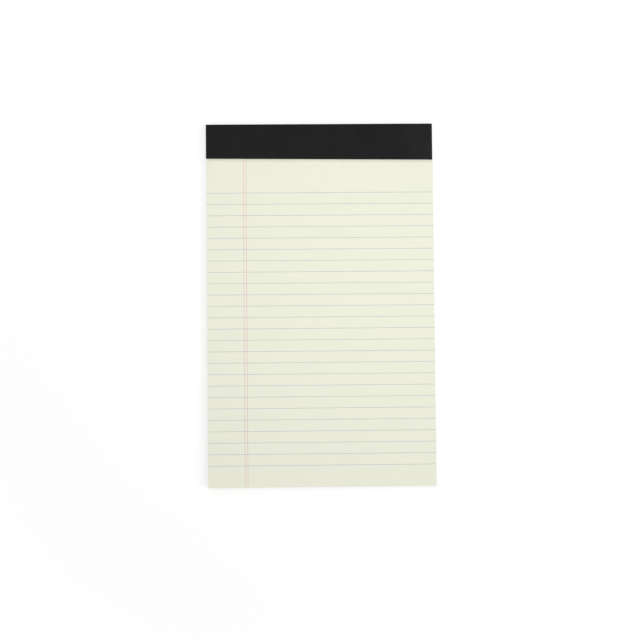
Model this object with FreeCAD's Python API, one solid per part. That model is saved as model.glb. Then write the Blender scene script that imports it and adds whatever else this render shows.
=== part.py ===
import FreeCAD, Part
import math
import os

# A top-bound writing pad, lying face up. A block of ruled, perforated sheets sits on a chipboard
# back of the same outline. Two wire staples go through both near the top edge, and one strip of
# black tape, folded over that edge, covers them on the front and on the back. The ruling is thin
# films of ink on the front sheet: blue lines across it, and a pair of red lines down its left.
#
# Millimetres. X runs across the sheet to the reader's right, Y runs up the sheet to the bound
# end, and Z runs up from the surface that the pad lies on. The origin is the middle of the
# footprint, on that surface.

Vector = FreeCAD.Vector

# The trimmed pad, 5 by 8 inches, and its layers
pad_width = 127.0
pad_length = 203.2
sheet_count = 50
sheet_thickness = 0.09
board_thickness = 0.76

# The tape. It was laid on a little to the left, and its lower edge on the front is cut askew.
tape_thickness = 0.2
tape_front_left = 19.2
tape_front_right = 20.4
tape_back = 19.0
tape_left_overhang = 0.4
tape_right_shortfall = 0.1
fold_radius = 0.35

# The perforation, a row of slits through every sheet, just below the tape
slit_length = 1.6
slit_tie = 0.5
slit_width = 0.06
tape_to_slits = 0.6

# Where the sheets spring back from the squeeze of the binding to their loose thickness
bind_squeeze = 0.25
slits_to_spring = 0.5
spring_run = 6.0

# The staples, of flat stitching wire. Their width and their bends are measured to its middle.
wire_width = 0.55
wire_thickness = 0.4
crown_width = 12.7
clinch_gap = 2.5
bend_radius = 0.5
staple_inset = 25.4
seat_clearance = 0.02

# The ruling: quarter-inch feint lines, and a double margin line
feint_pitch = 6.35
feint_head = 38.7
feint_foot_least = 10.0
feint_line = 0.25
margin_inset = 20.5
margin_spacing = 1.5
margin_line = 0.25
ink_thickness = 0.02
ink_to_tape = 0.02

# Levels from the surface up
board_back = tape_thickness
board_front = board_back + board_thickness
loose_top = board_front + sheet_count * sheet_thickness
bound_top = loose_top - bind_squeeze

# Stations along the pad
overall_length = pad_length + tape_thickness
free_end = -overall_length / 2
bound_end = free_end + pad_length
tape_back_edge = bound_end - tape_back
slit_line = bound_end - max(tape_front_left, tape_front_right) - tape_to_slits
spring_start = slit_line - slits_to_spring
spring_end = spring_start - spring_run
staple_line = bound_end - min(tape_back, tape_front_left, tape_front_right) / 2

# Stations across it
overall_width = pad_width + tape_left_overhang
tape_left = -overall_width / 2
sheet_left = tape_left + tape_left_overhang
sheet_right = sheet_left + pad_width
tape_right = sheet_right - tape_right_shortfall
sheet_middle = (sheet_left + sheet_right) / 2

# The wire's own levels: its crown and its clinched ends lie just under the faces that they hold
crown_level = bound_top - seat_clearance - wire_thickness / 2
clinch_level = board_back + seat_clearance + wire_thickness / 2

# How far a cutting tool runs past the face that it opens, and how close two ends must come to meet
cut_margin = 1.0
meeting = 1e-6


def line(start, end):
    """A straight edge between two points."""
    return Part.LineSegment(start, end).toShape()


def side_line(start, end):
    """A straight edge between two (y, z) points of the side view."""
    return line(Vector(0, *start), Vector(0, *end))


def side_arc(centre, radius, start_angle, end_angle):
    """A round edge about a (y, z) centre of the side view. Angles run in degrees from +Y to +Z."""
    points = []
    for angle in (start_angle, (start_angle + end_angle) / 2, end_angle):
        turn = math.radians(angle)
        points.append(Vector(0, centre[0] + radius * math.cos(turn), centre[1] + radius * math.sin(turn)))
    return Part.Arc(*points).toShape()


def joined(edges):
    """The edges of a closed side view, with a straight run wherever one stops short of the next."""
    outline = []
    for edge, following in zip(edges, edges[1:] + edges[:1]):
        outline.append(edge)
        here = edge.lastVertex(True).Point
        there = following.firstVertex(True).Point
        if here.distanceToPoint(there) > meeting:
            outline.append(line(here, there))
    return outline


def across(edges, left, right):
    """A solid with the side view that the edges outline, from left to right across the pad."""
    face = Part.Face(Part.Wire(joined(edges)))
    face.translate(Vector(left, 0, 0))
    return face.extrude(Vector(right - left, 0, 0))


def spring_arcs(lift=0.0):
    """The front sheet's rise from the bound level to the loose one: two equal arcs, tangent to
    both levels and to each other. The lift raises the line square to itself."""
    turn = 2 * math.atan(bind_squeeze / spring_run)
    radius = spring_run / (2 * math.sin(turn))
    degrees = math.degrees(turn)
    lower = side_arc((spring_start, bound_top + radius), radius - lift, -90, -90 - degrees)
    upper = side_arc((spring_end, loose_top - radius), radius + lift, 90 - degrees, 90)
    return [lower, upper]


def tape_edge(x):
    """Where the lower edge of the tape's front flap lies at a station across the pad."""
    share = (x - tape_left) / (tape_right - tape_left)
    return bound_end - tape_front_left - share * (tape_front_right - tape_front_left)


def staple_path(offset, longer=0.0):
    """The middle of one staple's wire: a clinched end, a leg, the crown, a leg and a clinched end.
    Both clinched ends can run longer than the real ones, for the seat that they lie in."""
    leg = crown_width / 2
    bend = bend_radius
    knee = bend * (1 - math.sqrt(0.5))
    rise = [
        Vector(-leg + bend, 0, clinch_level),
        Vector(-leg + knee, 0, clinch_level + knee),
        Vector(-leg, 0, clinch_level + bend),
        Vector(-leg, 0, crown_level - bend),
        Vector(-leg + knee, 0, crown_level - knee),
        Vector(-leg + bend, 0, crown_level),
    ]
    fall = [Vector(-point.x, 0, point.z) for point in reversed(rise)]
    tips = [Vector(side * (clinch_gap / 2 - longer), 0, clinch_level) for side in (-1, 1)]
    edges = [line(tips[0], rise[0])]
    for bends in (rise, fall):
        edges.append(Part.Arc(*bends[:3]).toShape())
        edges.append(line(bends[2], bends[3]))
        edges.append(Part.Arc(*bends[3:]).toShape())
    edges.insert(4, line(rise[-1], fall[0]))
    edges.append(line(fall[-1], tips[1]))
    path = Part.Wire(edges)
    path.translate(Vector(offset, staple_line, 0))
    return path


def wire_along(path, clearance=0.0):
    """The flat wire along the middle line of a staple, or the room that it needs."""
    start = path.OrderedVertexes[0].Point
    across_half = wire_width / 2 + clearance
    through_half = wire_thickness / 2 + clearance
    signs = ((-1, -1), (1, -1), (1, 1), (-1, 1), (-1, -1))
    corners = [start + Vector(0, side * across_half, face * through_half) for side, face in signs]
    return path.makePipeShell([Part.makePolygon(corners)], True, True)


def trench(near, far, low, high):
    """A straight-sided trench for the wire, from near to far across the pad."""
    half = wire_width / 2 + seat_clearance
    return Part.makeBox(far - near, 2 * half, high - low, Vector(near, staple_line - half, low))


def staple_seat(offset):
    """What the two layers give up to one staple: its legs' holes, and trenches for crown and ends."""
    reach = crown_width / 2 + wire_thickness / 2 + seat_clearance
    tip = clinch_gap / 2 - seat_clearance
    return [
        wire_along(staple_path(offset, seat_clearance), seat_clearance),
        trench(offset - reach, offset + reach, crown_level, bound_top + cut_margin),
        trench(offset - reach, offset - tip, board_back - cut_margin, clinch_level),
        trench(offset + tip, offset + reach, board_back - cut_margin, clinch_level),
    ]


def staple_offsets():
    """The middles of the two staples, each at its own distance in from a side of the sheets."""
    return (sheet_left + staple_inset, sheet_right - staple_inset)


def staple_seats():
    """The seats of both staples."""
    return [tool for offset in staple_offsets() for tool in staple_seat(offset)]


def slits():
    """The perforation's slits, evenly spaced across the sheets, with a tie left at both sides."""
    pitch = slit_length + slit_tie
    count = int(pad_width / pitch)
    depth = loose_top - board_front + 2 * cut_margin
    tools = []
    for i in range(count):
        middle = sheet_middle + (i - (count - 1) / 2) * pitch
        corner = Vector(middle - slit_length / 2, slit_line - slit_width / 2, board_front - cut_margin)
        tools.append(Part.makeBox(slit_length, slit_width, depth, corner))
    return tools


def sheet_block():
    """All the sheets as one solid, squeezed at the bound end, perforated and stapled through."""
    rounded = fold_radius
    outline = [
        side_line((free_end, board_front), (bound_end, board_front)),
        side_arc((bound_end - rounded, bound_top - rounded), rounded, 0, 90),
        *spring_arcs(),
        side_line((free_end, loose_top), (free_end, board_front)),
    ]
    return across(outline, sheet_left, sheet_right).cut(staple_seats() + slits())


def backing_board():
    """The chipboard back, its bound edge rounded under the tape. Its back is parted where the tape
    stops, so that the bare part is a face of its own."""
    rounded = fold_radius
    outline = [
        side_line((free_end, board_front), (free_end, board_back)),
        side_line((free_end, board_back), (tape_back_edge, board_back)),
        side_line((tape_back_edge, board_back), (bound_end - rounded, board_back)),
        side_arc((bound_end - rounded, board_back + rounded), rounded, -90, 0),
        side_line((bound_end, board_front), (free_end, board_front)),
    ]
    return across(outline, sheet_left, sheet_right).cut(staple_seats())


def tape_fold():
    """The strip of tape, folded over the bound end, with a front flap longer than it is left."""
    outer = fold_radius + tape_thickness
    fold = bound_end - fold_radius
    longest = min(tape_edge(tape_left), tape_edge(tape_right))
    outline = [
        side_arc((fold, board_back + fold_radius), fold_radius, -90, 0),
        side_arc((fold, bound_top - fold_radius), fold_radius, 0, 90),
        side_line((longest, bound_top), (longest, bound_top + tape_thickness)),
        side_arc((fold, bound_top - fold_radius), outer, 90, 0),
        side_arc((fold, board_back + fold_radius), outer, 0, -90),
        side_line((tape_back_edge, board_back - tape_thickness), (tape_back_edge, board_back)),
    ]
    return across(outline, tape_left, tape_right)


def tape_offcut():
    """What the skewed cut takes off the front flap: everything below the line of its lower edge."""
    left = tape_left - cut_margin
    right = tape_right + cut_margin
    below = min(tape_edge(left), tape_edge(right)) - cut_margin
    corners = [
        Vector(left, tape_edge(left), bound_top),
        Vector(right, tape_edge(right), bound_top),
        Vector(right, below, bound_top),
        Vector(left, below, bound_top),
    ]
    face = Part.Face(Part.makePolygon(corners + corners[:1]))
    return face.extrude(Vector(0, 0, tape_thickness + cut_margin))


def binding_tape():
    """The folded tape, with the lower edge of its front flap cut askew."""
    return tape_fold().cut(tape_offcut())


def staples():
    """Both staples, as separate solids."""
    return Part.makeCompound([wire_along(staple_path(offset)) for offset in staple_offsets()])


def feint_lines():
    """The blue lines, from side to side of the front sheet, as many as its length has room for."""
    room = pad_length - feint_head - feint_foot_least
    count = int(room / feint_pitch) + 1
    lines = []
    for i in range(count):
        y = bound_end - feint_head - i * feint_pitch
        corner = Vector(sheet_left, y - feint_line / 2, loose_top)
        lines.append(Part.makeBox(pad_width, feint_line, ink_thickness, corner))
    return lines


def margin_lines():
    """The two red lines, down the front sheet from the tape's edge to the free end."""
    lines = []
    for side in (-0.5, 0.5):
        middle = sheet_left + margin_inset + margin_spacing / 2 + side * margin_spacing
        left = middle - margin_line / 2
        right = middle + margin_line / 2
        head = min(tape_edge(left), tape_edge(right)) - ink_to_tape
        outline = [
            side_line((head, bound_top), (head, bound_top + ink_thickness)),
            *spring_arcs(ink_thickness),
            side_line((free_end, loose_top + ink_thickness), (free_end, loose_top)),
            *[edge.reversed() for edge in reversed(spring_arcs())],
        ]
        lines.append(across(outline, left, right))
    return lines


def feint_ruling():
    """The blue ink of the front sheet."""
    return Part.makeCompound(feint_lines())


def margin_ruling():
    """The red ink of the front sheet, parted where the blue lines cross it."""
    blue = feint_lines()
    return Part.makeCompound([red.cut(blue) for red in margin_lines()])


def write(name, shape):
    """Checks one node's shape and writes it."""
    if not shape.isValid():
        raise ValueError(f"{name} is not a valid shape")
    shape.exportStep(os.path.join("parts", f"{name}.step"))
    print(f"{name}: {len(shape.Solids)} solids, {shape.Volume:.2f} mm3")


def main():
    """Writes each node to its own file."""
    os.makedirs("parts", exist_ok=True)
    write("sheet_block", sheet_block())
    write("backing_board", backing_board())
    write("binding_tape", binding_tape())
    write("staples", staples())
    write("feint_ruling", feint_ruling())
    write("margin_ruling", margin_ruling())


main()
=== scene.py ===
import logging
import math
import random
from dataclasses import dataclass
from enum import Enum
from typing import Any, Callable, Union

import bmesh
import bpy
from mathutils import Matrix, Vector


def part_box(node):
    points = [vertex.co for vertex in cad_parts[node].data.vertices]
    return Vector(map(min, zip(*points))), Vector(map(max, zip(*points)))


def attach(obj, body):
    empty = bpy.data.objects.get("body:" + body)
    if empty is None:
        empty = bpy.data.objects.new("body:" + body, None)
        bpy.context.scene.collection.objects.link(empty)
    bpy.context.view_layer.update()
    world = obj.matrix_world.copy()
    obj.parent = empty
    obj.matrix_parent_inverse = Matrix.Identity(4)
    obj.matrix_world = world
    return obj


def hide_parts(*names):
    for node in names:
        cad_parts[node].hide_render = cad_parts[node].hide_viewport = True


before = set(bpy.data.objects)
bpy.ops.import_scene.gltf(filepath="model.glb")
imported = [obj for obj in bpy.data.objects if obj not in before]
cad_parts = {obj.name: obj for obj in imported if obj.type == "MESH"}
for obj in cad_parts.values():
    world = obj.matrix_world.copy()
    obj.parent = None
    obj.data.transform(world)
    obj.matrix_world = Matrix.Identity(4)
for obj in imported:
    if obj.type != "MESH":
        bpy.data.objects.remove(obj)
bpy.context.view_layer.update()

MM = 0.001
LOG = logging.getLogger("ruled_pad")

# Kinds of value that the hints below name; places and lengths are in metres
Colour = tuple[float, float, float]
Triple = tuple[float, float, float]
Span = tuple[float, float]
Spot = tuple[float, float, float]
Number = Union["Value", float]
Outline = Callable[[Vector], Vector]
Paint = Union[Colour, bpy.types.NodeSocket]
Part = Union[bmesh.types.BMVert, bmesh.types.BMEdge, bmesh.types.BMFace]
Verts = list[bmesh.types.BMVert]

# Plain paper, which also shows through thin ink
PAPER_TINT: Colour = (0.848, 0.852, 0.716)
WHITE: Colour = (1.0, 1.0, 1.0)
BLACK: Colour = (0.0, 0.0, 0.0)

# Y of the tape's front edge at its left end and at its right end
TAPE_FRONT_LEFT = 82.3 * MM
TAPE_FRONT_RIGHT = 81.1 * MM


class Node(Enum):
    """The CAD nodes of the pad."""

    BLOCK = "sheet_block"
    BOARD = "backing_board"
    TAPE = "binding_tape"
    STAPLES = "staples"
    FEINT = "feint_ruling"
    MARGIN = "margin_ruling"


class Slot(Enum):
    """Two material slots named in the record, which this script does not give to the new pieces."""

    PAPER = "ivory_paper"
    TAPE = "black_tape"


class Blend(Enum):
    """Ways in which two colours are combined."""

    MIX = "MIX"
    MULTIPLY = "MULTIPLY"


class Corner(Enum):
    """What a bevel rounds."""

    POINTS = "VERTICES"
    EDGES = "EDGES"


class Value:
    """A number socket that Python expressions can use."""

    def __init__(self, shader: "Shader", socket: bpy.types.NodeSocket) -> None:
        """Keep the socket and the shader that it belongs to."""
        self.shader = shader
        self.socket = socket

    def __add__(self, other: Number) -> "Value":
        """Sum of two values."""
        return self.shader.result_of("ADD", self, other)

    __radd__ = __add__

    def __sub__(self, other: Number) -> "Value":
        """This value less another."""
        return self.shader.result_of("SUBTRACT", self, other)

    def __rsub__(self, other: Number) -> "Value":
        """Another number less this value."""
        return self.shader.result_of("SUBTRACT", other, self)

    def __mul__(self, other: Number) -> "Value":
        """Product of two values."""
        return self.shader.result_of("MULTIPLY", self, other)

    __rmul__ = __mul__

    def __gt__(self, other: Number) -> "Value":
        """1 where this value is the larger, else 0."""
        return self.shader.result_of("GREATER_THAN", self, other)

    def __lt__(self, other: Number) -> "Value":
        """1 where this value is the smaller, else 0."""
        return self.shader.result_of("LESS_THAN", self, other)

    def __abs__(self) -> "Value":
        """Size of the value without its sign."""
        return self.shader.result_of("ABSOLUTE", self)


@dataclass(frozen=True)
class Grain:
    """A noise pattern.

    Attributes:
        size: Size of its largest features, in metres.
        detail: Number of finer layers.
        roughness: Strength of the finer layers.
        scale: Factor on the coordinates along each axis, below 1 for long streaks.
    """

    size: float
    detail: float
    roughness: float
    scale: Triple = (1.0, 1.0, 1.0)


class Shader:
    """A node tree that is being built, for a material or for the world."""

    def __init__(self, tree: bpy.types.NodeTree) -> None:
        """Start from an empty tree.

        Args:
            tree: The tree, which loses the nodes that it has.
        """
        self.tree = tree
        self.tree.nodes.clear()
        self.place: bpy.types.NodeSocket | None = None

    def node(
        self,
        kind: str,
        settings: dict[str, Any] | None = None,
        inputs: dict[str | int, Any] | None = None,
    ) -> bpy.types.Node:
        """Make one node.

        Args:
            kind: The node's type.
            settings: Its own properties, set before its sockets.
            inputs: Values or links for its sockets, by name or number.

        Returns:
            The node.
        """
        made = self.tree.nodes.new(kind)
        for name, value in (settings or {}).items():
            setattr(made, name, value)
        for name, value in (inputs or {}).items():
            socket = made.inputs[name]
            if isinstance(value, Value):
                value = value.socket
            if isinstance(value, bpy.types.NodeSocket):
                self.tree.links.new(value, socket)
            elif socket.type == "RGBA":
                socket.default_value = (*value, 1.0)
            else:
                socket.default_value = value
        return made

    def result_of(self, operation: str, *terms: Number) -> Value:
        """Result of one Math node, from its inputs in order."""
        made = self.node("ShaderNodeMath", {"operation": operation}, dict(enumerate(terms)))
        return Value(self, made.outputs[0])

    def coordinates(self) -> bpy.types.NodeSocket:
        """Object coordinates, from one node for the whole tree.

        Returns:
            The socket, in metres.
        """
        if self.place is None:
            self.place = self.node("ShaderNodeTexCoord").outputs["Object"]
        return self.place

    def axes(self, vector: bpy.types.NodeSocket | None = None) -> tuple[Value, Value, Value]:
        """The three parts of a vector, of the object coordinates if none is given."""
        parts = self.node("ShaderNodeSeparateXYZ", None, {0: vector or self.coordinates()})
        return tuple(Value(self, parts.outputs[i]) for i in range(3))

    def facing(self) -> tuple[Value, Value, Value]:
        """The three parts of the surface's own normal."""
        return self.axes(self.node("ShaderNodeNewGeometry").outputs["Normal"])

    def noise(self, grain: Grain) -> Value:
        """Noise around 0.5.

        Args:
            grain: Its pattern.

        Returns:
            The noise.
        """
        stretch = {0: self.coordinates(), 1: grain.scale}
        vector = self.node("ShaderNodeVectorMath", {"operation": "MULTIPLY"}, stretch)
        inputs = {
            "Vector": vector.outputs[0],
            "Scale": 1.0 / grain.size,
            "Detail": grain.detail,
            "Roughness": grain.roughness,
        }
        return Value(self, self.node("ShaderNodeTexNoise", None, inputs).outputs[0])

    def ramp(
        self,
        value: Number,
        low: float,
        high: float,
        start: float = 0.0,
        end: float = 1.0,
    ) -> Value:
        """A smooth step.

        Args:
            value: What is stepped.
            low: Where the step starts.
            high: Where it ends.
            start: Result below the step.
            end: Result above the step.

        Returns:
            The stepped value.
        """
        inputs = {0: value, 1: low, 2: high, 3: start, 4: end}
        made = self.node("ShaderNodeMapRange", {"interpolation_type": "SMOOTHSTEP"}, inputs)
        return Value(self, made.outputs[0])

    def stripe(self, value: Value, middle: float, width: float, soft: float) -> Value:
        """1 on a band with that middle and width and 0 off it, with soft edges."""
        return self.ramp(abs(value - middle), (width - soft) / 2, (width + soft) / 2, 1.0, 0.0)

    def dot(self, x: Value, y: Value, spot: Spot) -> Value:
        """1 in the middle of a round spot, seen from above, and 0 off it.

        Args:
            x: Object coordinate across the pad.
            y: Object coordinate along the pad.
            spot: X and Y of its middle, and its radius.

        Returns:
            The spot.
        """
        at_x, at_y, radius = spot
        core = 0.2 * radius**2
        away = (x - at_x) * (x - at_x) + (y - at_y) * (y - at_y)
        return self.ramp(away, core, radius**2, 1.0, 0.0)

    def cut_side(self, up: Value) -> Value:
        """1 on a flat piece's cut sides and 0 on its faces, from the normal's upward part."""
        steep, level = 0.35, 0.65
        return self.ramp(abs(up), steep, level, 1.0, 0.0)

    def blend(
        self,
        factor: Number,
        first: Paint,
        second: Paint,
        way: Blend = Blend.MIX,
    ) -> bpy.types.NodeSocket:
        """Two colours combined, the factor being the second one's share."""
        settings = {"data_type": "RGBA", "blend_type": way.value}
        return self.node("ShaderNodeMix", settings, {0: factor, 6: first, 7: second}).outputs[2]

    def grey(self, value: Value) -> bpy.types.NodeSocket:
        """A grey colour of that value."""
        inputs = {0: value, 1: value, 2: value}
        return self.node("ShaderNodeCombineColor", None, inputs).outputs[0]

    def toned(self, tint: Colour, tone: Value) -> bpy.types.NodeSocket:
        """A colour made lighter and darker by a tone around 1."""
        return self.blend(1.0, tint, self.grey(tone), Blend.MULTIPLY)

    def bump(self, height: Value, depth: float) -> bpy.types.NodeSocket:
        """A normal that follows a height from 0 to 1, where 1 is the depth in metres."""
        inputs = {"Strength": 1.0, "Distance": depth, "Height": height}
        return self.node("ShaderNodeBump", None, inputs).outputs[0]

    def seen(self) -> Value:
        """1 for rays from the camera and for reflected or refracted ones, else 0.

        Returns:
            The mask.
        """
        rays = self.node("ShaderNodeLightPath").outputs
        names = ("Is Camera Ray", "Is Glossy Ray", "Is Transmission Ray")
        camera, glossy, clear = (Value(self, rays[name]) for name in names)
        return self.result_of("MINIMUM", camera + glossy + clear, 1.0)


def new_material(name: str) -> tuple[bpy.types.Material, Shader]:
    """Start a material.

    Args:
        name: The material's name.

    Returns:
        The material and its empty node tree.
    """
    material = bpy.data.materials.new(name)
    material.use_nodes = True
    return material, Shader(material.node_tree)


def close_material(shader: Shader, inputs: dict[str, Any]) -> None:
    """End a material with a Principled surface that has these inputs."""
    surface = shader.node("ShaderNodeBsdfPrincipled", None, inputs)
    shader.node("ShaderNodeOutputMaterial", None, {"Surface": surface.outputs[0]})


@dataclass(frozen=True)
class Ruling:
    """Where the printed lines are, in metres."""

    first_line: float = 62.8 * MM
    pitch: float = 6.35 * MM
    lines: int = 25
    margin_lines: tuple[float, float] = (-42.8 * MM, -41.3 * MM)
    width: float = 0.25 * MM


@dataclass(frozen=True)
class PaintedTapeShadow:
    """Painted soft shadow of the tape's edge on the front sheet, darkest just below the edge."""

    left_edge: float = TAPE_FRONT_LEFT
    right_edge: float = TAPE_FRONT_RIGHT
    half_width: float = 63.65 * MM
    start: float = 0.2 * MM
    reach: float = 2.3 * MM
    strength: float = 0.19
    tint: Colour = BLACK

    def mask(self, shader: Shader, x: Value, y: Value) -> Value:
        """Strength of the painted shadow over the sheet.

        Args:
            shader: The material's node tree.
            x: Object coordinate across the sheet.
            y: Object coordinate along the sheet.

        Returns:
            The mask.
        """
        slope = (self.right_edge - self.left_edge) / (2 * self.half_width)
        middle = (self.left_edge + self.right_edge) / 2
        below = middle + x * slope - y
        return shader.ramp(below, self.start, self.reach, self.strength, 0.0)


@dataclass(frozen=True)
class PaperFinish:
    """Uncoated ivory writing paper, its front and its cut edges."""

    tint: Colour = PAPER_TINT
    roughness: float = 0.88
    front_gloss: float = 0.25
    clouds: Grain = Grain(7.0 * MM, 3.0, 0.55)
    cloud_share: float = 0.032
    fibres: Grain = Grain(0.45 * MM, 3.0, 0.7, (1.0, 0.6, 1.0))
    fibre_share: float = 0.040
    tooth: Grain = Grain(0.22 * MM, 4.0, 0.65, (1.0, 0.55, 1.0))
    tooth_depth: float = 0.008 * MM
    fleck_tint: Colour = (0.60, 0.57, 0.50)
    # Painted shade between the sheets: the cut sides are darkened by this tint
    edge_tint: Colour = (0.93, 0.915, 0.87)
    edge_gloss: float = 0.2
    layers: Grain = Grain(0.32 * MM, 2.0, 0.8, (0.004, 0.004, 1.0))
    layer_share: float = 0.22
    knife: Grain = Grain(1.3 * MM, 2.0, 0.6, (1.0, 1.0, 0.03))
    knife_share: float = 0.06
    end_face: Span = (0.5, 0.8)
    ink_blue: Colour = (0.66, 0.76, 0.90)
    ink_red: Colour = (0.95, 0.68, 0.70)
    ink_share: float = 0.75
    ink_breaks: Grain = Grain(0.5 * MM, 2.0, 0.8, (0.3, 0.3, 1.0))
    ink_break_span: Span = (0.38, 0.62)
    margin_spread: float = 1.4

    def cloudy(self, shader: Shader) -> bpy.types.NodeSocket:
        """Paper colour with its formation and fibres.

        Args:
            shader: The material's node tree.

        Returns:
            The colour.
        """
        cloud = shader.noise(self.clouds) - 0.5
        fibre = shader.noise(self.fibres) - 0.5
        return shader.toned(self.tint, 1.0 + cloud * self.cloud_share + fibre * self.fibre_share)

    def bumped(self, shader: Shader) -> bpy.types.NodeSocket:
        """Normal of the paper's tooth."""
        return shader.bump(shader.noise(self.tooth), self.tooth_depth)

    def front(self, name: str, flecks: tuple[Spot, ...], shade: PaintedTapeShadow) -> bpy.types.Material:
        """Material of the sheet that lies on top.

        Args:
            name: The material's name.
            flecks: The flecks in the paper.
            shade: The painted shadow along the tape's edge.

        Returns:
            The material.
        """
        material, shader = new_material(name)
        x, y, _ = shader.axes()
        colour = self.cloudy(shader)
        # Painted shadow of the tape's edge darkens the sheet just below it
        colour = shader.blend(shade.mask(shader, x, y), colour, shade.tint, Blend.MULTIPLY)
        for fleck in flecks:
            spot = shader.dot(x, y, fleck)
            colour = shader.blend(spot, colour, self.fleck_tint, Blend.MULTIPLY)
        inputs = {
            "Base Color": colour,
            "Roughness": self.roughness,
            "Specular IOR Level": self.front_gloss,
            "Normal": self.bumped(shader),
        }
        close_material(shader, inputs)
        return material

    def edges(self, name: str, ruling: Ruling) -> bpy.types.Material:
        """Material of the block's cut sides, with the printed lines' ends as ticks.

        Args:
            name: The material's name.
            ruling: Where the printed lines are.

        Returns:
            The material.
        """
        material, shader = new_material(name)
        x, y, _ = shader.axes()
        _, along, up = shader.facing()
        side = shader.cut_side(up)
        end_face = shader.ramp(abs(along), *self.end_face)
        layers = shader.noise(self.layers) - 0.5
        knife = shader.noise(self.knife) - 0.5
        tone = 1.0 + layers * self.layer_share + knife * self.knife_share
        # Cut sides: painted shade between the sheets from the edge tint, with the sheets' own
        # streaks
        cut = shader.toned(self.edge_tint, tone)
        colour = shader.blend(side, self.cloudy(shader), cut, Blend.MULTIPLY)
        inked = shader.ramp(shader.noise(self.ink_breaks), *self.ink_break_span) * self.ink_share
        tick = self.line_ends(shader, y, ruling) * side * (1.0 - end_face) * inked
        colour = shader.blend(tick, colour, self.ink_blue, Blend.MULTIPLY)
        for middle in ruling.margin_lines:
            mark = shader.stripe(x, middle, ruling.width * self.margin_spread, ruling.width)
            mark = mark * side * end_face * (y < 0.0) * inked
            colour = shader.blend(mark, colour, self.ink_red, Blend.MULTIPLY)
        inputs = {
            "Base Color": colour,
            "Roughness": self.roughness,
            "Specular IOR Level": self.edge_gloss,
            "Normal": self.bumped(shader),
        }
        close_material(shader, inputs)
        return material

    def line_ends(self, shader: Shader, y: Value, ruling: Ruling) -> Value:
        """1 at the feint lines' places along the pad, else 0.

        Args:
            shader: The material's node tree.
            y: Object coordinate along the pad.
            ruling: Where the printed lines are.

        Returns:
            The mask.
        """
        half_pitch = ruling.pitch / 2
        above = ruling.first_line + half_pitch
        below = above - ruling.lines * ruling.pitch
        away = shader.result_of("PINGPONG", y - ruling.first_line, half_pitch)
        line = shader.ramp(away, ruling.width / 2, ruling.width, 1.0, 0.0)
        return line * (y < above) * (y > below)


@dataclass(frozen=True)
class InkFinish:
    """Thin printing ink on paper."""

    tint: Colour
    paper: Colour = PAPER_TINT
    crossing: Colour = WHITE
    crossing_soft: float = 0.2
    patches: Grain = Grain(3.5 * MM, 3.0, 0.6)
    patch_span: Span = (0.35, 0.65)
    patch_share: float = 0.16
    specks: Grain = Grain(0.16 * MM, 2.0, 0.7)
    speck_span: Span = (0.45, 0.75)
    speck_share: float = 0.14
    roughness: float = 0.8
    gloss: float = 0.25

    def material(
        self,
        name: str,
        crossed_at: tuple[float, ...],
        width: float,
    ) -> bpy.types.Material:
        """Material of one ruling.

        Args:
            name: The material's name.
            crossed_at: X of the other ruling's lines that run over this one, in metres.
            width: Width of those lines, in metres.

        Returns:
            The material.
        """
        material, shader = new_material(name)
        x, _, _ = shader.axes()
        patches = shader.ramp(shader.noise(self.patches), *self.patch_span)
        specks = shader.ramp(shader.noise(self.specks), *self.speck_span)
        bare = patches * self.patch_share + specks * self.speck_share
        colour = shader.blend(bare, self.tint, self.paper)
        for middle in crossed_at:
            over = shader.stripe(x, middle, width, self.crossing_soft * width)
            colour = shader.blend(over, colour, self.crossing, Blend.MULTIPLY)
        inputs = {
            "Base Color": colour,
            "Roughness": self.roughness,
            "Specular IOR Level": self.gloss,
        }
        close_material(shader, inputs)
        return material


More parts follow.
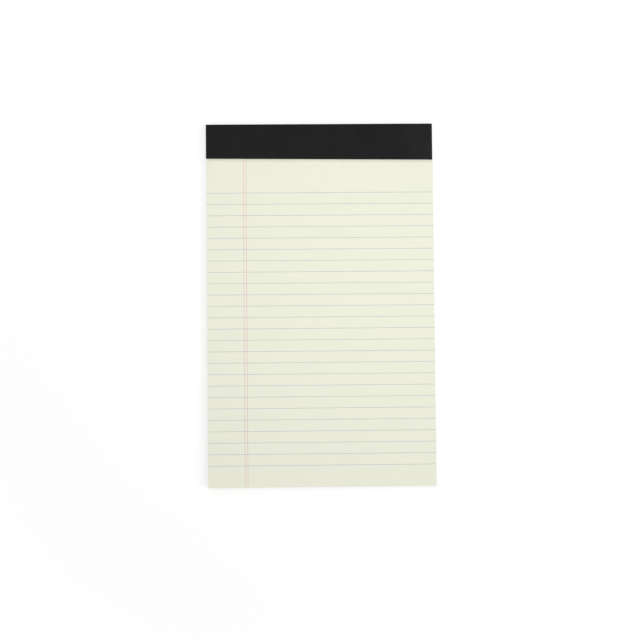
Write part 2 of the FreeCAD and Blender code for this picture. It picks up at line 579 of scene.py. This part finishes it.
@dataclass(frozen=True)
class TapeFinish:
    """Black paper tape with a fine grain and a satin face."""

    tint: Colour = (0.0066, 0.0066, 0.0068)
    fibre_tint: Colour = (0.0155, 0.0155, 0.0155)
    # Pale tint for the painted sheen, the paler right end and the worn left end
    sheen_and_wear_tint: Colour = (0.050, 0.050, 0.050)
    dust_tint: Colour = (0.12, 0.12, 0.11)
    roughness: float = 0.58
    gloss: float = 0.08
    grain: Grain = Grain(0.28 * MM, 3.0, 0.7)
    fibres: Grain = Grain(0.5 * MM, 3.0, 0.65, (0.25, 1.0, 1.0))
    fibre_span: Span = (0.52, 0.74)
    fibre_share: float = 0.55
    clouds: Grain = Grain(9.0 * MM, 2.0, 0.5)
    cloud_span: Span = (0.35, 0.7)
    cloud_share: float = 0.15
    relief: float = 0.012 * MM
    grain_relief: float = 0.6
    fibre_relief: float = 0.4
    fibre_roughness: float = 0.18
    grain_roughness: float = 0.12
    # Painted sheen: from here the tape turns paler towards its right end
    painted_sheen_from: float = 38.0 * MM
    painted_sheen_share: float = 0.10
    # Width and share of a paler strip at the tape's right end
    right_paling: float = 1.6 * MM
    right_paling_share: float = 0.22
    left_wear: float = 0.5 * MM
    left_wear_share: float = 0.12
    dust_share: float = 0.6
    dust: tuple[Spot, ...] = (
        (19.1 * MM, 97.9 * MM, 0.22 * MM),
        (46.5 * MM, 85.6 * MM, 0.20 * MM),
        (49.9 * MM, 84.9 * MM, 0.18 * MM),
        (53.4 * MM, 85.4 * MM, 0.24 * MM),
        (46.4 * MM, 93.3 * MM, 0.20 * MM),
    )

    def material(self, name: str, left: float, right: float, middle: float) -> bpy.types.Material:
        """Material of the tape.

        Args:
            name: The material's name.
            left: X of the tape's left end, in metres.
            right: X of its right end.
            middle: Z of a level between the two flaps.

        Returns:
            The material.
        """
        material, shader = new_material(name)
        x, y, z = shader.axes()
        grain = shader.noise(self.grain)
        fibres = shader.noise(self.fibres)
        clouds = shader.noise(self.clouds)
        light = shader.ramp(fibres, *self.fibre_span) * self.fibre_share
        light = light + shader.ramp(clouds, *self.cloud_span) * self.cloud_share
        colour = shader.blend(light, self.tint, self.fibre_tint)
        # Painted sheen of the light from the right, paler towards the tape's right end
        painted_sheen = shader.ramp(x, self.painted_sheen_from, right) * self.painted_sheen_share
        colour = shader.blend(painted_sheen, colour, self.sheen_and_wear_tint)
        # A short strip at the right end is made paler, and so is a worn strip at the left end
        paling_right = shader.ramp(x, right - self.right_paling, right, 0.0, self.right_paling_share)
        worn_left = shader.ramp(x, left, left + self.left_wear, self.left_wear_share, 0.0)
        colour = shader.blend(paling_right + worn_left, colour, self.sheen_and_wear_tint)
        in_front = (z > middle) * self.dust_share
        for speck in self.dust:
            colour = shader.blend(shader.dot(x, y, speck) * in_front, colour, self.dust_tint)
        coarse = (fibres - 0.5) * self.fibre_roughness + (grain - 0.5) * self.grain_roughness
        height = grain * self.grain_relief + fibres * self.fibre_relief
        inputs = {
            "Base Color": colour,
            "Roughness": self.roughness + coarse,
            "Specular IOR Level": self.gloss,
            "Normal": shader.bump(height, self.relief),
        }
        close_material(shader, inputs)
        return material


@dataclass(frozen=True)
class ChipboardFinish:
    """Grey chipboard made of mixed waste fibres."""

    tint: Colour = (0.43, 0.40, 0.35)
    dark_tint: Colour = (0.20, 0.18, 0.16)
    pale_tint: Colour = (0.66, 0.62, 0.55)
    edge_tint: Colour = (0.82, 0.80, 0.78)
    roughness: float = 0.86
    pulp_roughness: float = 0.1
    gloss: float = 0.3
    clouds: Grain = Grain(9.0 * MM, 4.0, 0.6)
    cloud_share: float = 0.22
    pulp: Grain = Grain(0.9 * MM, 4.0, 0.7, (1.0, 0.55, 1.0))
    pulp_share: float = 0.34
    dark_fibres: Grain = Grain(1.5 * MM, 3.0, 0.75, (0.45, 1.4, 1.0))
    dark_span: Span = (0.60, 0.72)
    dark_share: float = 0.55
    pale_fibres: Grain = Grain(1.2 * MM, 3.0, 0.75, (1.5, 0.5, 1.0))
    pale_span: Span = (0.62, 0.74)
    pale_share: float = 0.50
    plies: Grain = Grain(0.16 * MM, 2.0, 0.7, (0.02, 0.02, 1.0))
    ply_share: float = 0.5
    relief: float = 0.03 * MM
    pulp_relief: float = 0.7
    cloud_relief: float = 0.3

    def material(self, name: str) -> bpy.types.Material:
        """Material of the board.

        Args:
            name: The material's name.

        Returns:
            The material.
        """
        material, shader = new_material(name)
        _, _, up = shader.facing()
        clouds = shader.noise(self.clouds)
        pulp = shader.noise(self.pulp)
        tone = 1.0 + (clouds - 0.5) * self.cloud_share + (pulp - 0.5) * self.pulp_share
        colour = shader.toned(self.tint, tone)
        dark = shader.ramp(shader.noise(self.dark_fibres), *self.dark_span)
        colour = shader.blend(dark * self.dark_share, colour, self.dark_tint)
        pale = shader.ramp(shader.noise(self.pale_fibres), *self.pale_span)
        colour = shader.blend(pale * self.pale_share, colour, self.pale_tint)
        plies = shader.noise(self.plies) - 0.5
        cut = shader.toned(self.edge_tint, 1.0 + plies * self.ply_share)
        colour = shader.blend(shader.cut_side(up), colour, cut, Blend.MULTIPLY)
        height = pulp * self.pulp_relief + clouds * self.cloud_relief
        inputs = {
            "Base Color": colour,
            "Roughness": self.roughness + (pulp - 0.5) * self.pulp_roughness,
            "Specular IOR Level": self.gloss,
            "Normal": shader.bump(height, self.relief),
        }
        close_material(shader, inputs)
        return material


@dataclass(frozen=True)
class WireFinish:
    """Bright flat stitching wire with drawing marks along it."""

    tint: Colour = (0.62, 0.62, 0.63)
    scratch_tint: Colour = (0.46, 0.46, 0.47)
    drawn: Grain = Grain(0.06 * MM, 3.0, 0.7, (0.04, 1.0, 1.0))
    drawn_span: Span = (0.5, 0.75)
    roughness: float = 0.28
    drawn_roughness: float = 0.2
    relief: float = 0.004 * MM

    def material(self, name: str) -> bpy.types.Material:
        """Material of the staples.

        Args:
            name: The material's name.

        Returns:
            The material.
        """
        material, shader = new_material(name)
        drawn = shader.noise(self.drawn)
        scratches = shader.ramp(drawn, *self.drawn_span)
        inputs = {
            "Base Color": shader.blend(scratches, self.tint, self.scratch_tint),
            "Metallic": 1.0,
            "Roughness": self.roughness + (drawn - 0.5) * self.drawn_roughness,
            "Normal": shader.bump(drawn, self.relief),
        }
        close_material(shader, inputs)
        return material


def finished_piece(
    shape: bmesh.types.BMesh,
    name: str,
    replaced: Node,
    smooth: float,
) -> bpy.types.Object:
    """Turn a shape into a piece of the pad.

    Args:
        shape: The mesh that was modelled, which is freed here.
        name: The piece's name.
        replaced: The CAD node that it stands for.
        smooth: Largest angle between faces that are shaded as one, in degrees.

    Returns:
        The piece.
    """
    bmesh.ops.recalc_face_normals(shape, faces=shape.faces)
    mesh = bpy.data.meshes.new(name)
    shape.to_mesh(mesh)
    shape.free()
    mesh.shade_smooth()
    mesh.set_sharp_from_angle(angle=math.radians(smooth))
    piece = bpy.data.objects.new(name, mesh)
    bpy.context.scene.collection.objects.link(piece)
    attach(piece, "root")
    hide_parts(replaced.value)
    return piece


def dress(piece: bpy.types.Object, material: bpy.types.Material) -> None:
    """Give a piece one material in all its slots.

    Args:
        piece: A new piece or a CAD node.
        material: The material.
    """
    if not piece.material_slots:
        piece.data.materials.append(material)
    for place in piece.material_slots:
        place.material = material


def stations(edges: list[float], step: float) -> list[float]:
    """Divide the runs between some fixed places.

    Args:
        edges: Places that must be kept, in order.
        step: Largest distance between two stations.

    Returns:
        All the stations in order.
    """
    rounding = 1e-9
    found = [edges[0]]
    for start, end in zip(edges, edges[1:]):
        parts = max(1, math.ceil((end - start) / step - rounding))
        found += [start + (end - start) * (i + 1) / parts for i in range(parts)]
    return found


def gridded(shape: bmesh.types.BMesh, columns: list[float], rows: list[float]) -> None:
    """Add a flat grid with its lines at given stations.

    Args:
        shape: The mesh that gets the grid.
        columns: X of each column of vertices.
        rows: Y of each row of vertices.
    """
    wide, long = len(columns) - 1, len(rows) - 1
    bmesh.ops.create_grid(shape, x_segments=wide, y_segments=long, size=0.5)
    for vert in shape.verts:
        vert.co.x = columns[round((vert.co.x + 0.5) * wide)]
        vert.co.y = rows[round((vert.co.y + 0.5) * long)]


def only_verts(parts: list[Part]) -> Verts:
    """The vertices among an operator's new parts."""
    return [part for part in parts if isinstance(part, bmesh.types.BMVert)]


def rounded(
    shape: bmesh.types.BMesh,
    parts: list[Part],
    corner: Corner,
    radius: float,
    segments: int,
) -> None:
    """Round some corners of a shape.

    Args:
        shape: The mesh.
        parts: The vertices or edges that are rounded.
        corner: Which of the two they are.
        radius: How far the rounding starts from the corner, in metres.
        segments: Number of faces in it.
    """
    bmesh.ops.bevel(
        shape,
        geom=parts,
        offset=radius,
        offset_type="OFFSET",
        segments=segments,
        profile=0.5,
        affect=corner.value,
        material=-1,
    )


def clamped(low: Vector, high: Vector) -> Outline:
    """Keep places inside a rectangle.

    Args:
        low: Its lowest corner.
        high: Its highest corner.

    Returns:
        A function from a place to the nearest place in the rectangle.
    """

    def held(spot: Vector) -> Vector:
        """Nearest place in the rectangle.

        Args:
            spot: A place.

        Returns:
            The nearest place, with a height of 0.
        """
        x = min(max(spot.x, low.x), high.x)
        y = min(max(spot.y, low.y), high.y)
        return Vector((x, y, 0.0))

    return held


@dataclass
class PaperBlock:
    """Fifty sheets that are squeezed at the bound end and spring up below it."""

    sheets: int = 50
    squeeze: float = 0.25 * MM
    spring_top: float = 80.0 * MM
    spring_foot: float = 74.0 * MM
    spring_step: float = 0.5 * MM
    row_step: float = 13.0 * MM
    column_step: float = 16.0 * MM
    slit_row: float = 80.5 * MM
    slit_length: float = 1.6 * MM
    slit_tie: float = 0.5 * MM
    slit_width: float = 0.06 * MM
    slit_count: int = 60
    groove: float = 0.045 * MM
    groove_width: float = 0.018 * MM
    straggle: float = 0.06 * MM
    foot_straggle: float = 1.6
    seed: int = 612
    weld: float = 0.0001 * MM
    smooth_angle: float = 40.0
    finish: PaperFinish = PaperFinish()
    # Painted shadow of the tape's edge on the front sheet
    shade: PaintedTapeShadow = PaintedTapeShadow()
    ruling: Ruling = Ruling()
    flecks: tuple[Spot, ...] = (
        (45.2 * MM, -85.3 * MM, 0.26 * MM),
        (49.6 * MM, -58.3 * MM, 0.24 * MM),
        (-45.4 * MM, 9.2 * MM, 0.22 * MM),
        (-14.3 * MM, -65.4 * MM, 0.18 * MM),
    )

    def __post_init__(self) -> None:
        """Read the block's outline from its CAD node."""
        self.low, self.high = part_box(Node.BLOCK.value)
        self.random = random.Random(self.seed)

    def front_level(self, y: float) -> float:
        """Height of the block's front surface above the board.

        Args:
            y: Place along the pad.

        Returns:
            The height, in metres.
        """
        full = self.high.z - self.low.z
        if y >= self.spring_top:
            return full - self.squeeze
        if y <= self.spring_foot:
            return full
        # Two equal arcs that touch half way and run out level at both ends
        half_run = (self.spring_top - self.spring_foot) / 2
        radius = (half_run**2 + (self.squeeze / 2) ** 2) / self.squeeze
        below = self.spring_top - y
        near = min(below, 2 * half_run - below)
        rise = radius - math.sqrt(radius**2 - near**2)
        return full - self.squeeze + rise if below < half_run else full - rise

    def rows(self, extra: list[float]) -> list[float]:
        """Stations along the pad and some extra ones, close together where the sheets spring up."""
        spring = stations([self.spring_foot, self.spring_top], self.spring_step)
        return stations(sorted([self.low.y, *spring, *extra, self.high.y]), self.row_step)

    def stack(self) -> bpy.types.Object:
        """Model the sheets under the front one as one closed body with grooved sides.

        Returns:
            The piece.
        """
        shape = bmesh.new()
        flat = shape.verts.layers.float_vector.new("flat")
        gridded(shape, stations([self.low.x, self.high.x], self.column_step), self.rows([]))
        for vert in shape.verts:
            vert[flat] = vert.co
        floor_faces = list(shape.faces)
        rim = [edge for edge in shape.edges if edge.is_boundary]
        last: Verts = []
        half = self.groove_width / 2
        for index in range(self.sheets - 1):
            cut = self.sheet_outline()
            deep = self.pushed_in(cut, self.groove)
            # A sheet's lower edge, its upper edge and the bottom of the groove over it
            rings = [(index, half, cut), (index + 1, -half, cut), (index + 1, 0.0, deep)]
            if index == self.sheets - 2:
                rings.pop()
            if index == 0:
                self.set_down(list(shape.verts), flat, 0, half, cut)
                rings.pop(0)
            for below, lift, outline in rings:
                grown = bmesh.ops.extrude_edge_only(shape, edges=rim)["geom"]
                last = only_verts(grown)
                edges = [part for part in grown if isinstance(part, bmesh.types.BMEdge)]
                rim = [edge for edge in edges if edge.is_boundary]
                self.set_down(last, flat, below, lift, outline)
        top_verts = only_verts(bmesh.ops.duplicate(shape, geom=floor_faces)["geom"])
        self.set_down(top_verts, flat, self.sheets - 1, -half, cut)
        bmesh.ops.remove_doubles(shape, verts=top_verts + last, dist=self.weld)
        piece = finished_piece(shape, "sheet_stack", Node.BLOCK, self.smooth_angle)
        dress(piece, self.finish.edges("paper_edges", self.ruling))
        return piece

    def set_down(
        self,
        verts: Verts,
        flat: bmesh.types.BMLayerItem,
        below: int,
        lift: float,
        outline: Outline,
    ) -> None:
        """Put vertices at a level between the board and the front.

        Args:
            verts: The vertices.
            flat: The layer that keeps each one's place on the flat grid.
            below: How many sheets lie below the level.
            lift: What is added to the level, in metres.
            outline: The outline that they are kept in.
        """
        share = below / self.sheets
        for vert in verts:
            spot = vert[flat]
            level = self.low.z + self.front_level(spot.y) * share + lift
            vert.co = outline(spot) + Vector((0.0, 0.0, level))

    def sheet_outline(self) -> Outline:
        """How far one sheet's cut edges stand back from the block's outline.

        Returns:
            A function from a place on the outline to the place on the sheet.
        """
        left, right, foot, head = (self.straggle * self.random.random() for _ in range(4))
        low = Vector((self.low.x + left, self.low.y + self.foot_straggle * foot, 0.0))
        high = Vector((self.high.x - right, self.high.y - head, 0.0))
        return clamped(low, high)

    def pushed_in(self, outline: Outline, depth: float) -> Outline:
        """The outline of the groove over a sheet.

        Args:
            outline: The sheet's own outline.
            depth: How far the groove goes in.

        Returns:
            A function like the sheet's.
        """
        low = outline(self.low) + Vector((depth, depth, 0.0))
        high = outline(self.high) - Vector((depth, depth, 0.0))
        return clamped(low, high)

    def slits(self) -> list[Span]:
        """Where the perforation slits are.

        Returns:
            X of the left and the right end of each.
        """
        pitch = self.slit_length + self.slit_tie
        middle = (self.low.x + self.high.x) / 2
        first = middle - (self.slit_count - 1) / 2 * pitch - self.slit_length / 2
        starts = [first + i * pitch for i in range(self.slit_count)]
        return [(start, start + self.slit_length) for start in starts]

    def front_sheet(self) -> bpy.types.Object:
        """Model the sheet on top, with its row of perforation slits cut through.

        Returns:
            The piece.
        """
        shape = bmesh.new()
        slits = self.slits()
        ends = [end for slit in slits for end in slit]
        half = self.slit_width / 2
        slit_rows = self.rows([self.slit_row - half, self.slit_row + half])
        gridded(shape, [self.low.x, *ends, self.high.x], slit_rows)
        cut = [face for face in shape.faces if self.is_slit(face.calc_center_median(), slits)]
        bmesh.ops.delete(shape, geom=cut, context="FACES")
        upper = list(shape.verts)
        grown = bmesh.ops.extrude_face_region(shape, geom=list(shape.faces))["geom"]
        for verts, below in ((upper, self.sheets), (only_verts(grown), self.sheets - 1)):
            for vert in verts:
                vert.co.z = self.low.z + self.front_level(vert.co.y) * (below / self.sheets)
        piece = finished_piece(shape, "front_sheet", Node.BLOCK, self.smooth_angle)
        dress(piece, self.finish.front("paper_front", self.flecks, self.shade))
        return piece

    def is_slit(self, spot: Vector, slits: list[Span]) -> bool:
        """Whether a place on the sheet lies in one of the slits."""
        in_row = abs(spot.y - self.slit_row) < self.slit_width / 2
        return in_row and any(left < spot.x < right for left, right in slits)


@dataclass
class BindingTape:
    """A strip of tape folded over the bound edge, its front edge cut askew."""

    thickness: float = 0.2 * MM
    front_left: float = TAPE_FRONT_LEFT
    front_right: float = TAPE_FRONT_RIGHT
    back_edge: float = 82.5 * MM
    inner_radius: float = 0.35 * MM
    outer_radius: float = 0.55 * MM
    bend_faces: int = 8
    least_flap: float = 2.0 * MM
    flap_cuts: int = 11
    whole_share: float = 0.9
    length_cuts: int = 96
    edge_round: float = 0.035 * MM
    edge_faces: int = 2
    edge_angle: float = 60.0
    smooth_angle: float = 50.0
    ripple: float = 0.018 * MM
    ripple_start: float = 0.25
    waves: tuple[Span, ...] = ((5.3 * MM, 0.0), (2.9 * MM, 1.3), (11.0 * MM, 0.4))
    finish: TapeFinish = TapeFinish()

    def __post_init__(self) -> None:
        """Read the strip's ends and faces from its CAD node."""
        self.low, self.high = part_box(Node.TAPE.value)
        self.length = self.high.x - self.low.x
        self.middle = (self.low.z + self.high.z) / 2

    def front_edge(self, x: float) -> float:
        """Y of the front flap's cut edge at a place across the pad."""
        share = (x - self.low.x) / self.length
        return self.front_left + (self.front_right - self.front_left) * share

    def model(self) -> bpy.types.Object:
        """Fold the strip and dress it.

        Returns:
            The piece.
        """
        shape = bmesh.new()
        self.draw_section(shape)
        self.draw_out(shape)
        self.skew(shape)
        sharp = math.radians(self.edge_angle)
        cut_edges = [edge for edge in shape.edges if edge.calc_face_angle(0.0) > sharp]
        rounded(shape, cut_edges, Corner.EDGES, self.edge_round, self.edge_faces)
        piece = finished_piece(shape, "tape_fold", Node.TAPE, self.smooth_angle)
        dress(piece, self.finish.material("tape_black", self.low.x, self.high.x, self.middle))
        return piece

    def draw_section(self, shape: bmesh.types.BMesh) -> None:
        """Draw the folded strip's section at its left end, with both bends.

        Args:
            shape: The mesh that gets the section.
        """
        far, near = self.high.y, self.front_edge(self.low.x)
        top, floor, wall = self.high.z, self.low.z, self.thickness
        corners = [
            (near, top),
            (far, top),
            (far, floor),
            (self.back_edge, floor),
            (self.back_edge, floor + wall),
            (far - wall, floor + wall),
            (far - wall, top - wall),
            (near, top - wall),
        ]
        verts = [shape.verts.new((self.low.x, y, z)) for y, z in corners]
        shape.faces.new(verts)
        outer, inner = verts[1:3], verts[5:7]
        rounded(shape, outer, Corner.POINTS, self.outer_radius, self.bend_faces)
        rounded(shape, inner, Corner.POINTS, self.inner_radius, self.bend_faces)

    def draw_out(self, shape: bmesh.types.BMesh) -> None:
        """Draw the section out to the right end, and divide the flaps both ways.

        Args:
            shape: The mesh that holds the section.
        """
        flaps = [edge for edge in shape.edges if edge.calc_length() > self.least_flap]
        bmesh.ops.subdivide_edges(shape, edges=flaps, cuts=self.flap_cuts)
        grown = bmesh.ops.extrude_face_region(shape, geom=list(shape.faces))["geom"]
        bmesh.ops.translate(shape, verts=only_verts(grown), vec=(self.length, 0.0, 0.0))
        least = self.whole_share * self.length
        whole = [edge for edge in shape.edges if edge.calc_length() > least]
        bmesh.ops.subdivide_edges(shape, edges=whole, cuts=self.length_cuts, use_grid_fill=True)

    def skew(self, shape: bmesh.types.BMesh) -> None:
        """Turn the front edge askew and let the strip ripple a little over the fold.

        Args:
            shape: The folded strip.
        """
        fold = self.high.y - self.outer_radius
        for vert in shape.verts:
            x, y, z = vert.co
            if z > self.middle and y < fold:
                share = (fold - y) / (fold - self.front_left)
                vert.co.y = fold - (fold - self.front_edge(x)) * share
                wave = sum(math.sin(x / length + phase) for length, phase in self.waves)
                # The ripple dies out at the bend and at the cut edge
                settle = min(1.0, share / self.ripple_start) * math.sqrt(max(0.0, 1.0 - share))
                vert.co.z += self.ripple * settle * (0.5 + wave / (2 * len(self.waves)))


@dataclass
class PrintedRuling:
    """The blue feint lines and the red double margin line."""

    ruling: Ruling = Ruling()
    blue: InkFinish = InkFinish(tint=(0.395, 0.530, 0.605), crossing=(0.90, 0.52, 0.58))
    red: InkFinish = InkFinish(tint=(0.784, 0.452, 0.469))

    def dress_lines(self) -> list[str]:
        """Give both rulings their ink.

        Returns:
            The names of the dressed nodes.
        """
        crossings = self.ruling.margin_lines
        blue = self.blue.material("ink_blue", crossings, self.ruling.width)
        red = self.red.material("ink_red", (), self.ruling.width)
        dress(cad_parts[Node.FEINT.value], blue)
        dress(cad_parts[Node.MARGIN.value], red)
        return [Node.FEINT.value, Node.MARGIN.value]


@dataclass
class BackAndStaples:
    """The chipboard back and the two stitching staples."""

    board: ChipboardFinish = ChipboardFinish()
    wire: WireFinish = WireFinish()

    def dress_nodes(self) -> list[str]:
        """Give the board and the staples their finishes.

        Returns:
            The names of the dressed nodes.
        """
        dress(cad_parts[Node.BOARD.value], self.board.material("chipboard_grey"))
        dress(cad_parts[Node.STAPLES.value], self.wire.material("wire_steel"))
        return [Node.BOARD.value, Node.STAPLES.value]


@dataclass(frozen=True)
class SoftLamp:
    """A square lamp that throws soft shadows.

    Attributes:
        name: The lamp's name.
        power: Its power in watts.
        at: Its place in metres.
        aim: The place that it looks at.
        size: Length of its side in metres.
        spread: Full angle that it lights, in degrees.
    """

    name: str
    power: float
    at: Triple
    aim: Triple
    size: float
    spread: float

    def hang(self) -> None:
        """Put the lamp in the room."""
        light = bpy.data.lights.new(self.name, "AREA")
        light.energy = self.power
        light.size = self.size
        light.spread = math.radians(self.spread)
        lamp = bpy.data.objects.new(self.name, light)
        lamp.location = self.at
        away = Vector(self.at) - Vector(self.aim)
        lamp.rotation_euler = away.to_track_quat("Z", "Y").to_euler()
        bpy.context.scene.collection.objects.link(lamp)


@dataclass
class Studio:
    """Floor, lamps, world and camera."""

    floor_size: float = 6.0
    floor_level: float = -0.01 * MM
    floor_colour: Colour = (0.48, 0.48, 0.48)
    floor_roughness: float = 0.95
    floor_glow: float = 0.57
    far_glow: float = 0.60
    far_start: float = 0.12
    far_end: float = 0.45
    world_level: float = 0.450
    key: SoftLamp = SoftLamp("key", 3.95, (0.82, -0.24, 0.95), (0.0, 0.0, 0.0), 0.60, 180.0)
    overhead: SoftLamp = SoftLamp(
        "overhead", 0.415, (0.015, 0.065, 0.62), (0.015, 0.065, 0.0), 0.34, 86.0
    )
    lens: float = 50.625
    sensor: float = 36.0
    clip: Span = (0.01, 20.0)
    camera_at: Triple = (-8.315 * MM, -23.27 * MM, 508.513 * MM)
    camera_turn: Triple = (1.6597, -0.8779, -0.5166)

    def floor(self) -> None:
        """Lay a pale floor that looks white and keeps the shadow."""
        shape = bmesh.new()
        bmesh.ops.create_grid(shape, x_segments=2, y_segments=2, size=self.floor_size / 2)
        bmesh.ops.translate(shape, verts=shape.verts, vec=(0.0, 0.0, self.floor_level))
        mesh = bpy.data.meshes.new("floor")
        shape.to_mesh(mesh)
        shape.free()
        floor = bpy.data.objects.new("floor", mesh)
        bpy.context.scene.collection.objects.link(floor)
        material, shader = new_material("floor_pale")
        x, y, _ = shader.axes()
        away = x * x + y * y
        far = shader.ramp(away, self.far_start**2, self.far_end**2, 0.0, self.far_glow)
        inputs = {
            "Base Color": self.floor_colour,
            "Roughness": self.floor_roughness,
            "Specular IOR Level": 0.0,
            "Emission Color": shader.grey(shader.seen() * (far + self.floor_glow)),
            "Emission Strength": 1.0,
        }
        close_material(shader, inputs)
        dress(floor, material)

    def world(self) -> None:
        """Light the room evenly and show it white."""
        world = bpy.data.worlds.new("room")
        bpy.context.scene.world = world
        world.use_nodes = True
        shader = Shader(world.node_tree)
        level = (self.world_level,) * 3
        colour = shader.blend(shader.seen(), level, WHITE)
        sky = shader.node("ShaderNodeBackground", None, {"Color": colour, "Strength": 1.0})
        shader.node("ShaderNodeOutputWorld", None, {"Surface": sky.outputs[0]})

    def camera(self) -> None:
        """Set the camera where the photograph was taken from, and make it the scene's."""
        data = bpy.data.cameras.new("camera")
        data.lens = self.lens
        data.sensor_width = self.sensor
        data.clip_start, data.clip_end = self.clip
        camera = bpy.data.objects.new("camera", data)
        camera.location = self.camera_at
        camera.rotation_euler = tuple(math.radians(turn) for turn in self.camera_turn)
        bpy.context.scene.collection.objects.link(camera)
        bpy.context.scene.camera = camera

    def build(self) -> None:
        """Set up everything that isn't the pad."""
        bpy.context.scene.view_settings.view_transform = "Standard"
        self.camera()
        self.world()
        self.floor()
        self.key.hang()
        self.overhead.hang()


def report(piece: bpy.types.Object) -> None:
    """Log one new piece.

    Args:
        piece: The piece.
    """
    faces = piece.data.polygons
    triangles = sum(len(face.vertices) - 2 for face in faces)
    LOG.info("%s: %d faces, %d triangles", piece.name, len(faces), triangles)


def main() -> None:
    """Set up the room, then build the pad's pieces in order."""
    logging.basicConfig(level=logging.INFO, format="%(message)s")
    Studio().build()
    LOG.info("room, lamps and camera are set")
    block = PaperBlock()
    report(block.stack())
    report(block.front_sheet())
    report(BindingTape().model())
    for name in PrintedRuling().dress_lines() + BackAndStaples().dress_nodes():
        LOG.info("%s: dressed", name)


if __name__ == "__main__":
    main()
